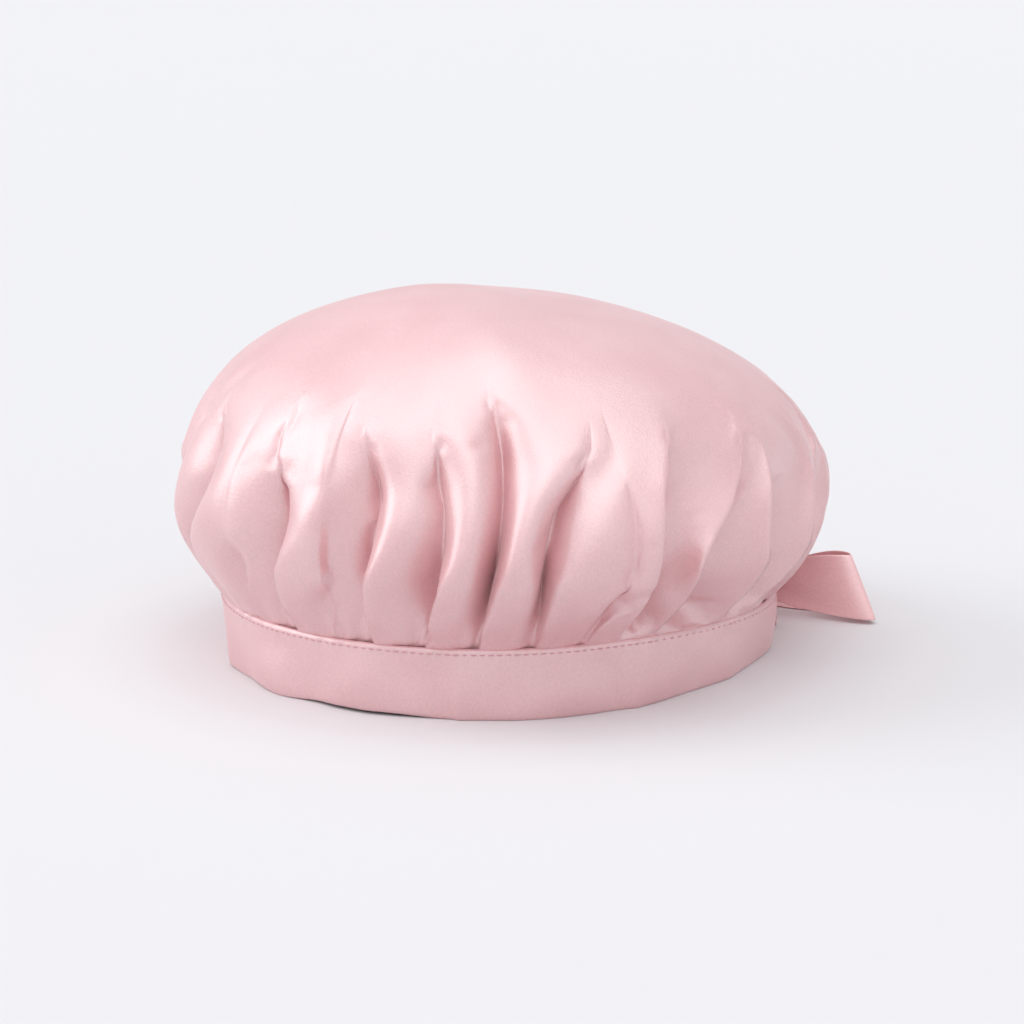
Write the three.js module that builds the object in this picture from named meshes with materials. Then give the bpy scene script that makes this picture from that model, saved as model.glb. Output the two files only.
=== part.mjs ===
// A silk satin sleep bonnet: a full crown gathered into a folded band that follows
// the head, a short elastic casing at the nape and a bow sewn onto that casing.
// Millimetres, +Z up, forehead towards -Y, nape and bow towards +Y, wearer's left at +X.
import * as THREE from 'three';

// Oval of the band, at the middle of its thickness
const BAND_HALF_WIDTH = 86.5;
const BAND_FRONT_REACH = 83.3;
const BAND_NAPE_REACH = 110.7;
const BAND_HEIGHT = 22.5;
const BAND_TAPER_DEG = 75;
const BAND_STEPS = 64;

// Cloth layers
const CLOTH = 0.9;
const LAYER_GAP = 0.4;
const INTERLINING = 0.9;
const HEM_DEPTH = 8;
const HEM_RAMP_DEG = 8;
const END_GAP_DEG = 0.3;

// Casing at the nape, ruched over its elastic
const CASING_SPAN_DEG = 60;
const CASING_HEIGHT = 17;
const CASING_STEPS = 36;
const RUCHE_COUNT = 9;
const RUCHE_DEPTH = 0.8;
const ELASTIC_WIDTH = 12;
const ELASTIC = 1.2;

// Crown: how far it overhangs the band, and how high its belly and dome rise
const SIDE_OVERHANG = 21.7;
const FRONT_OVERHANG = 12.8;
const NAPE_OVERHANG = 13.6;
const SEAM_RISE = 1.2;
const BELLY_RISE = 36.3;
const DOME_RISE = 63.4;
const BELLY_ROUNDNESS = 1.25;
const DOME_ROUNDNESS = 1.93;
const BELLY_ROWS = [0.3, 0.55, 0.78, 1];
const DOME_ROWS = [0.18, 0.36, 0.56, 0.78];

// Pleats on the photographed side: share of the full depth, then the run of the floor
// upwards, as angle round the band and share of the crown's rise
const PLEAT_DEPTH = 10;
const NEAR_PLEATS = [
  [0.9, [-110, 0], [-107, 0.25], [-102.5, 0.48], [-109, 0.7]],
  [0.35, [-94, 0], [-91, 0.18], [-92.5, 0.31]],
  [0.8, [-81.5, 0], [-80, 0.23], [-79.5, 0.41], [-87, 0.6]],
  [0.35, [-71.5, 0], [-70, 0.22]],
  [0.85, [-62.5, 0], [-61.5, 0.31], [-61, 0.5], [-68, 0.7]],
  [0.8, [-51.5, 0], [-48.5, 0.28], [-48, 0.43], [-52.5, 0.73]],
  [1, [-40.5, 0], [-38, 0.38], [-37, 0.63], [-41, 0.84]],
  [0.9, [-29, 0], [-30, 0.34], [-29, 0.46], [-19, 0.66]],
  [0.55, [-18, 0], [-15.5, 0.23]],
  [0.85, [-2.5, 0], [-5, 0.23], [-5.5, 0.38], [3, 0.66]],
  [0.85, [11, 0], [9, 0.18], [8.5, 0.38], [16, 0.65]],
  [0.8, [18, 0], [23, 0.2], [25, 0.34], [29, 0.48]],
];
// Pleats on the far side repeat short cycles of depth, top and lean
const FAR_PLEAT_COUNT = 19;
const FAR_PLEATS_FROM_DEG = 22;
const FAR_PLEAT_DEPTHS = [0.8, 0.6, 0.9, 0.7, 0.85];
const FAR_PLEAT_TOPS = [0.56, 0.36, 0.7, 0.44, 0.78, 0.4, 0.62];
const FAR_PLEAT_LEANS_DEG = [5, -2, -4, 3];
const PLEAT_ONSET = 12;
const PLEAT_FADE_FROM = 0.55;
const CREST_SHARE = 0.25;
const CREST_SWELL = 0.08;

// Sewing thread
const THREAD = 0.6;
const THREAD_SIDES = 5;
const STITCH_DROP = 1.5;
const TACK = 0.6;
const SIDE_TACK_WIDTH = 1.6;
const SIDE_TACK_HEIGHT = 11;
const SIDE_TACK_INSET_DEG = 2;
const BOW_TACK_WIDTH = 8;
const BOW_TACK_HEIGHT = 4;

// Bow of flat ribbon
const RIBBON = 0.8;
const RIBBON_WIDTH = 23.5;
const KNOT_WIDTH = 14;
const KNOT_DEPTH = 11;
const KNOT_HEIGHT = 16;
const KNOT_END_SHARE = 0.68;
const KNOT_SHOULDER_SHARE = 0.93;
const KNOT_SHOULDER_LEVEL = 0.14;
const KNOT_CREASES = 6;
const KNOT_CREASE_DEPTH = 0.5;
const KNOT_SIDES = 30;
const KNOT_ROWS = 8;
const LOOP_LENGTH = 60;
const LOOP_HALF_GAP = 6.5;
const LOOP_PINCH = 8.5;
const LOOP_SLANT = 8.5;
const LOOP_TURN_DEG = 6.5;
const LOOP_STEPS = 44;
const LOOP_LIFT = 0.7;
const TAIL_LENGTH = 52;
const TAIL_ROOT_WIDTH = 7;
const TAIL_FLARE = 24;
const TAIL_SLANT = 9;
const TAIL_TURN_DEG = 25;
const TAIL_CURVE_STEPS = 8;

const NAPE_DEG = 90;
const FULL_TURN_DEG = 360;
const BELLY_Z = BAND_HEIGHT + BELLY_RISE;
const slotWidth = Math.max(CLOTH, INTERLINING) + 2 * LAYER_GAP;
const casingSlot = ELASTIC + 2 * LAYER_GAP + 2 * RUCHE_DEPTH;
const casingHalf = casingSlot / 2 + CLOTH;

const satin = finish(0xf2bcc0, 0.38);
const ribbonSatin = finish(0xeab0b4, 0.36);
const threadPink = finish(0xd9949c, 0.6);
const plainWeave = finish(0xf6ecea, 0.85);
const elasticKnit = finish(0xf4f1ee, 0.75);

function finish(color, roughness) {
  return new THREE.MeshStandardMaterial({ color, roughness, metalness: 0 });
}

function smooth(x) {
  const k = Math.min(1, Math.max(0, x));
  return k * k * (3 - 2 * k);
}

// Point of an egg-shaped oval at a given angle, with its own front and nape reach
function oval(deg, halfWidth, front, nape) {
  const t = THREE.MathUtils.degToRad(deg);
  const reach = Math.sin(t) < 0 ? front : nape;
  return new THREE.Vector2(halfWidth * Math.cos(t), reach * Math.sin(t));
}

function bandPoint(deg) {
  return oval(deg, BAND_HALF_WIDTH, BAND_FRONT_REACH, BAND_NAPE_REACH);
}

function bellyPoint(deg) {
  return oval(
    deg,
    BAND_HALF_WIDTH + SIDE_OVERHANG,
    BAND_FRONT_REACH + FRONT_OVERHANG,
    BAND_NAPE_REACH + NAPE_OVERHANG,
  );
}

function bandOutward(deg) {
  const step = 0.01;
  const along = bandPoint(deg + step).sub(bandPoint(deg - step)).normalize();
  return new THREE.Vector2(along.y, -along.x);
}

// Place a section point that lies a given offset outside the band's oval
function onBand(deg, offset, z) {
  const p = bandPoint(deg).addScaledVector(bandOutward(deg), offset);
  return new THREE.Vector3(p.x, p.y, z);
}

function fromNape(deg) {
  return Math.abs(THREE.MathUtils.euclideanModulo(deg - NAPE_DEG + 180, FULL_TURN_DEG) - 180);
}

function beyondCasing(deg, spanDeg) {
  return smooth((fromNape(deg) - CASING_SPAN_DEG / 2) / spanDeg);
}

// The band is tallest at the forehead and narrows towards the casing
function bandTop(deg) {
  return CASING_HEIGHT + (BAND_HEIGHT - CASING_HEIGHT) * beyondCasing(deg, BAND_TAPER_DEG);
}

function solid(name, geometry, material) {
  const mesh = new THREE.Mesh(geometry, material);
  mesh.name = name;
  return mesh;
}

function geometryOf(points, triangles) {
  const geometry = new THREE.BufferGeometry();
  geometry.setAttribute('position', new THREE.Float32BufferAttribute(points.flatMap((p) => p.toArray()), 3));
  geometry.setIndex(triangles.flat());
  geometry.computeVertexNormals();
  return geometry;
}

function facingOut(points, triangles) {
  let volume = 0;
  for (const [a, b, c] of triangles) {
    volume += points[a].dot(new THREE.Vector3().crossVectors(points[b], points[c]));
  }
  return volume > 0 ? triangles : triangles.map(([a, b, c]) => [a, c, b]);
}

// Skin a row of equal section rings, closing it on itself or capping its two ends
function loft(rings, closed) {
  const n = rings[0].length;
  const points = rings.flat();
  const triangles = [];
  const spans = closed ? rings.length : rings.length - 1;
  for (let i = 0; i < spans; i += 1) {
    const here = i * n;
    const next = ((i + 1) % rings.length) * n;
    for (let j = 0; j < n; j += 1) {
      const k = (j + 1) % n;
      triangles.push([here + j, next + j, next + k], [here + j, next + k, here + k]);
    }
  }
  if (!closed) {
    const cap = capTriangles(rings[0]);
    const last = (rings.length - 1) * n;
    cap.forEach(([a, b, c]) => triangles.push([a, b, c], [last + a, last + c, last + b]));
  }
  return geometryOf(points, facingOut(points, triangles));
}

// Triangles over one flat ring, wound against the skin that starts from it
function capTriangles(ring) {
  const origin = ring[0];
  const across = ring.find((p) => Math.hypot(p.x - origin.x, p.y - origin.y) > CLOTH / 2);
  const axis = new THREE.Vector3(across.x - origin.x, across.y - origin.y, 0).normalize();
  const flat = ring.map((p) => new THREE.Vector2(axis.dot(p.clone().sub(origin)), p.z));
  const faces = THREE.ShapeUtils.triangulateShape(flat, []);
  return THREE.ShapeUtils.isClockWise(flat) ? faces.map(([a, b, c]) => [a, c, b]) : faces;
}

function sweepBand(fromDeg, toDeg, steps, section) {
  const rings = [];
  for (let i = 0; i <= steps; i += 1) {
    const deg = fromDeg + ((toDeg - fromDeg) * i) / steps;
    rings.push(section(deg).map(([offset, z]) => onBand(deg, offset, z)));
  }
  return loft(rings, false);
}

// Folded strip: two leaves that rise from a fold at the table, open at the top
function foldedSection(slot, top) {
  const inside = slot / 2;
  const outside = inside + CLOTH;
  return [
    [outside, 0], [outside, top], [inside, top], [inside, CLOTH],
    [-inside, CLOTH], [-inside, top], [-outside, top], [-outside, 0],
  ];
}

function stripSection(thick, low, high) {
  const half = thick / 2;
  return [[half, low], [half, high], [-half, high], [-half, low]];
}

function threadSection(offset, z) {
  const ring = [];
  for (let i = 0; i < THREAD_SIDES; i += 1) {
    const turn = (2 * Math.PI * i) / THREAD_SIDES;
    ring.push([offset + (THREAD / 2) * Math.cos(turn), z + (THREAD / 2) * Math.sin(turn)]);
  }
  return ring;
}

const casingFrom = NAPE_DEG - CASING_SPAN_DEG / 2;
const casingTo = NAPE_DEG + CASING_SPAN_DEG / 2;
const bandFrom = casingTo + END_GAP_DEG;
const bandTo = casingFrom + FULL_TURN_DEG - END_GAP_DEG;
const bandOutside = slotWidth / 2 + CLOTH;

function hemLow(deg) {
  return bandTop(deg) - HEM_DEPTH;
}

function frontBand() {
  const section = (deg) => foldedSection(slotWidth, bandTop(deg));
  return solid('front_band', sweepBand(bandFrom, bandTo, BAND_STEPS, section), satin);
}

function bandInterlining() {
  const section = (deg) => stripSection(INTERLINING, CLOTH + LAYER_GAP, hemLow(deg) - LAYER_GAP);
  return solid('band_interlining', sweepBand(bandFrom, bandTo, BAND_STEPS, section), plainWeave);
}

function bandTopstitch() {
  const offset = bandOutside + LAYER_GAP + THREAD / 2;
  const section = (deg) => threadSection(offset, bandTop(deg) - STITCH_DROP);
  return solid('band_topstitch', sweepBand(bandFrom, bandTo, BAND_STEPS, section), threadPink);
}

// How far the ruched leaves of the casing are drawn in towards the elastic
function ruche(deg) {
  const share = (deg - casingFrom) / CASING_SPAN_DEG;
  return RUCHE_DEPTH * (0.5 - 0.5 * Math.cos(2 * Math.PI * RUCHE_COUNT * share));
}

function rearCasing() {
  const section = (deg) => foldedSection(casingSlot - 2 * ruche(deg), CASING_HEIGHT);
  return solid('rear_casing', sweepBand(casingFrom, casingTo, CASING_STEPS, section), satin);
}

function napeElastic() {
  const low = CLOTH + LAYER_GAP;
  const section = () => stripSection(ELASTIC, low, low + ELASTIC_WIDTH);
  return solid('nape_elastic', sweepBand(casingFrom, casingTo, CASING_STEPS, section), elasticKnit);
}

function casingTopstitch() {
  const z = CASING_HEIGHT - STITCH_DROP;
  const section = (deg) => threadSection(casingHalf - ruche(deg) + LAYER_GAP + THREAD / 2, z);
  return solid('casing_topstitch', sweepBand(casingFrom, casingTo, CASING_STEPS, section), threadPink);
}

// Bar tack through the end of the band, where the elastic is anchored
function sideTack(name, deg) {
  const mesh = solid(name, new THREE.BoxGeometry(SIDE_TACK_WIDTH, TACK, SIDE_TACK_HEIGHT), threadPink);
  mesh.position.copy(onBand(deg, bandOutside + LAYER_GAP + TACK / 2, CASING_HEIGHT / 2 - STITCH_DROP));
  const out = bandOutward(deg);
  mesh.rotation.z = Math.atan2(out.y, out.x) - Math.PI / 2;
  return mesh;
}

function pleatList() {
  const pleats = NEAR_PLEATS.map(([depth, ...run]) => ({ depth, run }));
  const end = pleats[0].run[0][0] + FULL_TURN_DEG;
  const gap = (end - FAR_PLEATS_FROM_DEG) / (FAR_PLEAT_COUNT + 1);
  for (let i = 0; i < FAR_PLEAT_COUNT; i += 1) {
    const foot = FAR_PLEATS_FROM_DEG + gap * (i + 1);
    const lean = FAR_PLEAT_LEANS_DEG[i % FAR_PLEAT_LEANS_DEG.length];
    pleats.push({
      depth: FAR_PLEAT_DEPTHS[i % FAR_PLEAT_DEPTHS.length],
      run: [[foot, 0], [foot + lean, FAR_PLEAT_TOPS[i % FAR_PLEAT_TOPS.length]]],
    });
  }
  return pleats;
}

// Angle of a pleat's floor at a share of the crown's rise
function floorDeg(run, share) {
  const above = run.findIndex(([, level]) => level > share);
  if (above < 0) {
    return run[run.length - 1][0];
  }
  const [fromDeg, from] = run[Math.max(0, above - 1)];
  const [toDeg, to] = run[above];
  return fromDeg + ((toDeg - fromDeg) * (share - from)) / (to - from);
}

// Columns of the crown: one down each pleat's floor and one down the crest beside it
function crownColumns() {
  const pleats = pleatList();
  const topOf = ({ run }) => run[run.length - 1][1];
  return pleats.flatMap((pleat, i) => {
    const next = pleats[(i + 1) % pleats.length];
    const turn = i + 1 < pleats.length ? 0 : FULL_TURN_DEG;
    const crestDeg = (share) => {
      const here = floorDeg(pleat.run, share);
      return here + (share > 0 ? CREST_SHARE : 0.5) * (floorDeg(next.run, share) + turn - here);
    };
    const crestTop = Math.max(topOf(pleat), topOf(next));
    return [
      { degAt: (share) => floorDeg(pleat.run, share), top: topOf(pleat), inward: PLEAT_DEPTH * pleat.depth },
      { degAt: crestDeg, top: crestTop, inward: -CREST_SWELL * PLEAT_DEPTH * pleat.depth },
    ];
  });
}

// Share of a quarter round of given roundness: how far out, and how far up, at a level
function roundOut(level, roundness) {
  return Math.sin((level * Math.PI) / 2) ** (2 / roundness);
}

function roundUp(level, roundness) {
  return 1 - Math.cos((level * Math.PI) / 2) ** (2 / roundness);
}

// Smooth crown before pleating: belly level from 0 at the seam, dome level up to 1
function bellySurface(deg, level) {
  const p = bandPoint(deg).lerp(bellyPoint(deg), roundOut(level, BELLY_ROUNDNESS));
  const seam = bandTop(deg) + SEAM_RISE;
  return new THREE.Vector3(p.x, p.y, seam + (BELLY_Z - seam) * roundUp(level, BELLY_ROUNDNESS));
}

function domeSurface(deg, level) {
  const p = bellyPoint(deg).multiplyScalar(1 - roundUp(level, DOME_ROUNDNESS));
  return new THREE.Vector3(p.x, p.y, BELLY_Z + DOME_RISE * roundOut(level, DOME_ROUNDNESS));
}

// Row of the crown at a share of its rise, each point drawn in or out by its pleat
function pleatedRow(columns, share, surface) {
  const climb = share * (BELLY_RISE + DOME_RISE);
  return columns.map((column) => {
    const p = surface(column.degAt(share));
    const fade = 1 - smooth((share / column.top - PLEAT_FADE_FROM) / (1 - PLEAT_FADE_FROM));
    const inward = column.inward * fade * Math.min(1, climb / PLEAT_ONSET);
    const core = new THREE.Vector3(0, 0, Math.min(p.z, BELLY_Z));
    return p.addScaledVector(core.sub(p).normalize(), inward);
  });
}

function crownPanel() {
  const columns = crownColumns();
  const rise = BELLY_RISE + DOME_RISE;
  const hemEdge = (deg) => {
    const low = bandTop(deg) + LAYER_GAP;
    const tuck = HEM_DEPTH + LAYER_GAP;
    return onBand(deg, 0, low - tuck * beyondCasing(deg, HEM_RAMP_DEG));
  };
  const rows = [
    columns.map((column) => hemEdge(column.degAt(0))),
    columns.map((column) => bellySurface(column.degAt(0), 0)),
    ...BELLY_ROWS.map((level) => {
      const share = (BELLY_RISE * roundUp(level, BELLY_ROUNDNESS)) / rise;
      return pleatedRow(columns, share, (deg) => bellySurface(deg, level));
    }),
    ...DOME_ROWS.map((level) => {
      const share = (BELLY_RISE + DOME_RISE * roundOut(level, DOME_ROUNDNESS)) / rise;
      return pleatedRow(columns, share, (deg) => domeSurface(deg, level));
    }),
  ];
  return solid('crown_panel', thickened(rows, domeSurface(0, 1)), satin);
}

// Give a domed sheet of rows its cloth thickness, half to either side
function thickened(rows, apex) {
  const n = rows[0].length;
  const sheet = [...rows.flat(), apex];
  const top = sheet.length - 1;
  const faces = [];
  for (let i = 0; i + 1 < rows.length; i += 1) {
    for (let j = 0; j < n; j += 1) {
      const k = (j + 1) % n;
      faces.push([i * n + j, i * n + k, (i + 1) * n + k], [i * n + j, (i + 1) * n + k, (i + 1) * n + j]);
    }
  }
  const last = (rows.length - 1) * n;
  for (let j = 0; j < n; j += 1) {
    faces.push([last + j, last + ((j + 1) % n), top]);
  }
  const normals = geometryOf(sheet, faces).getAttribute('normal');
  const shifted = (side) => sheet.map((p, i) => {
    const normal = new THREE.Vector3().fromBufferAttribute(normals, i);
    return p.clone().addScaledVector(normal, (side * CLOTH) / 2);
  });
  const points = [...shifted(1), ...shifted(-1)];
  const under = sheet.length;
  const triangles = faces.flatMap(([a, b, c]) => [[a, b, c], [under + a, under + c, under + b]]);
  for (let j = 0; j < n; j += 1) {
    const k = (j + 1) % n;
    triangles.push([j, under + j, under + k], [j, under + k, k]);
  }
  return geometryOf(points, facingOut(points, triangles));
}

const tackY = BAND_NAPE_REACH + casingHalf + LAYER_GAP + TACK / 2;
const knotY = tackY + TACK / 2 + LAYER_GAP + KNOT_DEPTH / 2;
const knotLow = RIBBON + LAYER_GAP;
const knotMid = knotLow + KNOT_HEIGHT / 2;

function bowTack() {
  const mesh = solid('bow_tack', new THREE.BoxGeometry(BOW_TACK_WIDTH, TACK, BOW_TACK_HEIGHT), threadPink);
  mesh.position.set(0, tackY, knotMid);
  return mesh;
}

// Short wrap of ribbon round the middle of the bow, creased where it is drawn tight
function bowKnot() {
  const waist = new THREE.SplineCurve([
    new THREE.Vector2(KNOT_END_SHARE, 0),
    new THREE.Vector2(KNOT_SHOULDER_SHARE, KNOT_SHOULDER_LEVEL),
    new THREE.Vector2(1, 0.5),
    new THREE.Vector2(KNOT_SHOULDER_SHARE, 1 - KNOT_SHOULDER_LEVEL),
    new THREE.Vector2(KNOT_END_SHARE, 1),
  ]);
  const rings = waist.getPoints(KNOT_ROWS).map(({ x: share, y: level }) => {
    const ring = [];
    for (let i = 0; i < KNOT_SIDES; i += 1) {
      const turn = (2 * Math.PI * i) / KNOT_SIDES;
      const crease = KNOT_CREASE_DEPTH * (0.5 - 0.5 * Math.cos(KNOT_CREASES * turn));
      ring.push(new THREE.Vector3(
        (KNOT_WIDTH / 2 - crease) * share * Math.cos(turn),
        (KNOT_DEPTH / 2 - crease) * share * Math.sin(turn),
        knotLow + KNOT_HEIGHT * level,
      ));
    }
    return ring;
  });
  const mesh = solid('bow_knot', stack(rings), ribbonSatin);
  mesh.position.y = knotY;
  return mesh;
}

// Skin a stack of level rings and close it with a flat face at each end
function stack(rings) {
  const n = rings[0].length;
  const middle = (ring) => ring.reduce((sum, p) => sum.add(p), new THREE.Vector3()).divideScalar(n);
  const points = [...rings.flat(), middle(rings[0]), middle(rings[rings.length - 1])];
  const foot = rings.length * n;
  const head = foot + 1;
  const last = (rings.length - 1) * n;
  const triangles = [];
  for (let j = 0; j < n; j += 1) {
    const k = (j + 1) % n;
    for (let i = 0; i + 1 < rings.length; i += 1) {
      triangles.push([i * n + j, i * n + k, (i + 1) * n + k], [i * n + j, (i + 1) * n + k, (i + 1) * n + j]);
    }
    triangles.push([foot, k, j], [head, last + j, last + k]);
  }
  return geometryOf(points, facingOut(points, triangles));
}

// Turn that points a ribbon out to the wearer's left, or mirrors it to the right
function sideTurn(deg, side) {
  return THREE.MathUtils.degToRad(side > 0 ? deg : 180 - deg);
}

// A loop is a flat lens of ribbon on edge, pinched at the knot and slanted at its fold
const loopRoot = LOOP_HALF_GAP ** 2 / (LOOP_LENGTH / 2);
const loopPivotX = KNOT_WIDTH / 2 + LAYER_GAP + RIBBON / 2 + loopRoot;

function bowLoop(name, side) {
  const low = RIBBON + LOOP_LIFT;
  const rings = [];
  for (let i = 0; i < LOOP_STEPS; i += 1) {
    const turn = (2 * Math.PI * i) / LOOP_STEPS;
    const share = (1 - Math.cos(turn)) / 2;
    const spread = smooth(share);
    const bottom = (knotMid - LOOP_PINCH / 2) * (1 - spread) + low * spread;
    const top = (knotMid + LOOP_PINCH / 2) * (1 - spread) + (low + RIBBON_WIDTH) * spread;
    const middle = new THREE.Vector2(LOOP_LENGTH * share - loopRoot, LOOP_HALF_GAP * Math.sin(turn));
    const out = new THREE.Vector2(-LOOP_HALF_GAP * Math.cos(turn), (LOOP_LENGTH / 2) * Math.sin(turn));
    out.normalize();
    const at = (face, z, slant) => new THREE.Vector3(
      middle.x + (face * RIBBON * out.x) / 2 - slant * spread,
      middle.y + (face * RIBBON * out.y) / 2,
      z,
    );
    rings.push([at(1, bottom, 0), at(1, top, LOOP_SLANT), at(-1, top, LOOP_SLANT), at(-1, bottom, 0)]);
  }
  const mesh = solid(name, loft(rings, true), ribbonSatin);
  mesh.position.set(side * loopPivotX, knotY, 0);
  mesh.rotation.z = sideTurn(LOOP_TURN_DEG, side);
  return mesh;
}

// A tail leaves the underside of the knot, widens to the full ribbon and is cut aslant
function bowTail(name, side) {
  const root = TAIL_ROOT_WIDTH / 2;
  const half = RIBBON_WIDTH / 2;
  const short = TAIL_LENGTH - TAIL_SLANT;
  const outline = new THREE.Shape();
  outline.moveTo(0, -root);
  outline.bezierCurveTo(TAIL_FLARE / 2, -root, TAIL_FLARE / 2, -half, TAIL_FLARE, -half);
  outline.lineTo(side > 0 ? short : TAIL_LENGTH, -half);
  outline.lineTo(side > 0 ? TAIL_LENGTH : short, half);
  outline.lineTo(TAIL_FLARE, half);
  outline.bezierCurveTo(TAIL_FLARE / 2, half, TAIL_FLARE / 2, root, 0, root);
  outline.absarc(0, 0, root, Math.PI / 2, (3 * Math.PI) / 2, false);
  const flat = new THREE.ExtrudeGeometry(outline, {
    depth: RIBBON,
    bevelEnabled: false,
    curveSegments: TAIL_CURVE_STEPS,
  });
  const mesh = solid(name, flat, ribbonSatin);
  mesh.position.set(side * (root + LAYER_GAP), knotY, 0);
  mesh.rotation.z = sideTurn(TAIL_TURN_DEG, side);
  return mesh;
}

const bonnet = new THREE.Group();
bonnet.add(
  crownPanel(),
  frontBand(),
  bandInterlining(),
  bandTopstitch(),
  sideTack('side_tack_left', bandTo - SIDE_TACK_INSET_DEG),
  sideTack('side_tack_right', bandFrom + SIDE_TACK_INSET_DEG),
  rearCasing(),
  napeElastic(),
  casingTopstitch(),
  bowTack(),
  bowKnot(),
  bowLoop('bow_loop_left', 1),
  bowLoop('bow_loop_right', -1),
  bowTail('bow_tail_left', 1),
  bowTail('bow_tail_right', -1),
);

// Put the origin on the table, midway between the forehead and the tips of the tails
const reach = new THREE.Box3().setFromObject(bonnet, true);
bonnet.position.y = -(reach.min.y + reach.max.y) / 2;

export default bonnet;
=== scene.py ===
import bpy
import math
import numpy as np
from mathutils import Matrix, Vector


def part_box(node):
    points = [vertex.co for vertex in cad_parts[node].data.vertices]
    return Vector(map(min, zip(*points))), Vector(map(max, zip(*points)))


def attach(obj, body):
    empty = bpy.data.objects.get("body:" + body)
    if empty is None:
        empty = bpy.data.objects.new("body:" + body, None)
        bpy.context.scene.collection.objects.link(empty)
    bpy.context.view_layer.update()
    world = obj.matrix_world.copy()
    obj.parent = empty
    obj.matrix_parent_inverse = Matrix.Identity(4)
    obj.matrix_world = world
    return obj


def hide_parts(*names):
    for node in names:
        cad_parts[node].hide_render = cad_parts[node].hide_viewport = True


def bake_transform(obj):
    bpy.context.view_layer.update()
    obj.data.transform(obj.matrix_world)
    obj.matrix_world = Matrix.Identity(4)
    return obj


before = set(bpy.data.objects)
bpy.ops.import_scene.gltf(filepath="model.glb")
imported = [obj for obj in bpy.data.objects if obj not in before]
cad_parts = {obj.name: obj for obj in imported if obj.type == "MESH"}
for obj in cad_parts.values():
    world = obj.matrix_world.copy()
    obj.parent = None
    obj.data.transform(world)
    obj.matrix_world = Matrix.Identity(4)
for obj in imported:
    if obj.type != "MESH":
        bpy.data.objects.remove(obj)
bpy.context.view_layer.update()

# Sizes in millimetres; angles in degrees, 0 at the wearer's left and 90 at the nape.
# An oval is its reach to the side, to the forehead and to the nape.
MM = 0.001
NAPE = 90.0
OVAL_Y = -28.032
BAND_OVAL = (86.5, 83.3, 110.7)
BELLY_OVAL = (108.2, 96.1, 124.3)
BAND_HEIGHT = 22.5
BAND_TAPER = 75.0
CASING_HEIGHT = 17.0
CASING_HALF_SPAN = 30.0
END_GAP = 0.3
BELLY_Z = 58.8
DOME_RISE = 63.4
DOME_ROUNDNESS = 1.93
BELLY_LEAVE = (0.3, 0.22)
BELLY_ARRIVE = (1.0, 0.55)
CROWN_RISE = BELLY_Z + DOME_RISE - BAND_HEIGHT
UPWARD = np.array([0.0, 0.0, 1.0])


def smooth(x):
    x = np.clip(x, 0.0, 1.0)
    return x * x * (3.0 - 2.0 * x)


def rising(x, start, span):
    """0 up to start, 1 from a span beyond it, and smooth between."""
    return smooth((x - start) / span)


def hump(share):
    """0 at both ends of a share and 1 in its middle."""
    return 4.0 * share * (1.0 - share)


def wrap(deg):
    return (deg + 180.0) % 360.0 - 180.0


def unit(v):
    return v / np.linalg.norm(v, axis=-1, keepdims=True)


def oval(deg, sizes, grow=0.0):
    side, front, nape = sizes
    t = np.radians(deg)
    reach = np.where(np.sin(t) < 0.0, front, nape) + grow
    return (side + grow) * np.cos(t), reach * np.sin(t)


def beside_oval(deg, grow, z):
    """A point that lies grow outside the band's oval, at height z."""
    x, y = oval(deg, BAND_OVAL)
    side, front, nape = BAND_OVAL
    t = np.radians(deg)
    dx = np.cos(t) / side
    dy = np.sin(t) / np.where(np.sin(t) < 0.0, front, nape)
    size = np.hypot(dx, dy)
    return np.stack([x + grow * dx / size, y + grow * dy / size + OVAL_Y, z], -1)


def band_top(deg):
    """Height of the band's upper edge, which sinks towards the nape."""
    away = np.abs(wrap(deg - NAPE))
    return CASING_HEIGHT + (BAND_HEIGHT - CASING_HEIGHT) * rising(away, CASING_HALF_SPAN, BAND_TAPER)


def ripple(deg, height, seed, waves):
    """Smooth seeded wobble of about the height, up and down; waves are cycles over a turn."""
    weakest, strongest, about_a_turn = 0.6, 1.0, 6.28
    local = np.random.default_rng(seed)
    total = np.zeros_like(np.asarray(deg, dtype=float))
    for w in waves:
        strength = local.uniform(weakest, strongest)
        total = total + strength * np.sin(np.radians(deg) * w + local.uniform(0.0, about_a_turn))
    return height * (total / len(waves))


def nearness(deg, height, girth, reach, line):
    """1 on a line of angles and heights, falling off over reach along the cloth."""
    slope, tiny = 1.25, 1e-6
    points = np.array(line, dtype=float)
    least = np.full(deg.shape, np.inf)
    for start, end in zip(points, points[1:] if len(points) > 1 else points):
        across, up = np.radians(wrap(deg - start[0])) * girth, (height - start[1]) * slope
        run_across, run_up = math.radians(end[0] - start[0]) * girth, (end[1] - start[1]) * slope
        share = (across * run_across + up * run_up) / np.maximum(run_across**2 + run_up**2, tiny)
        share = np.clip(share, 0.0, 1.0)
        least = np.minimum(least, (across - share * run_across) ** 2 + (up - share * run_up) ** 2)
    return np.exp(-least / (2.0 * reach**2))


def piece(name, points, faces, material):
    mesh = bpy.data.meshes.new(name)
    points = np.asarray(points, dtype=float) * MM
    mesh.from_pydata(points.tolist(), [], [list(map(int, f)) for f in faces])
    mesh.update()
    for polygon in mesh.polygons:
        polygon.use_smooth = True
    mesh.materials.append(material)
    obj = bpy.data.objects.new(name, mesh)
    bpy.context.scene.collection.objects.link(obj)
    return obj


def grid_faces(rows, cols, closed_cols=False):
    index = np.arange(rows * cols).reshape(rows, cols)
    faces = []
    for low, high in zip(index, index[1:]):
        for j in range(cols if closed_cols else cols - 1):
            k = (j + 1) % cols
            faces.append((low[j], low[k], high[k], high[j]))
    return faces


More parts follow.
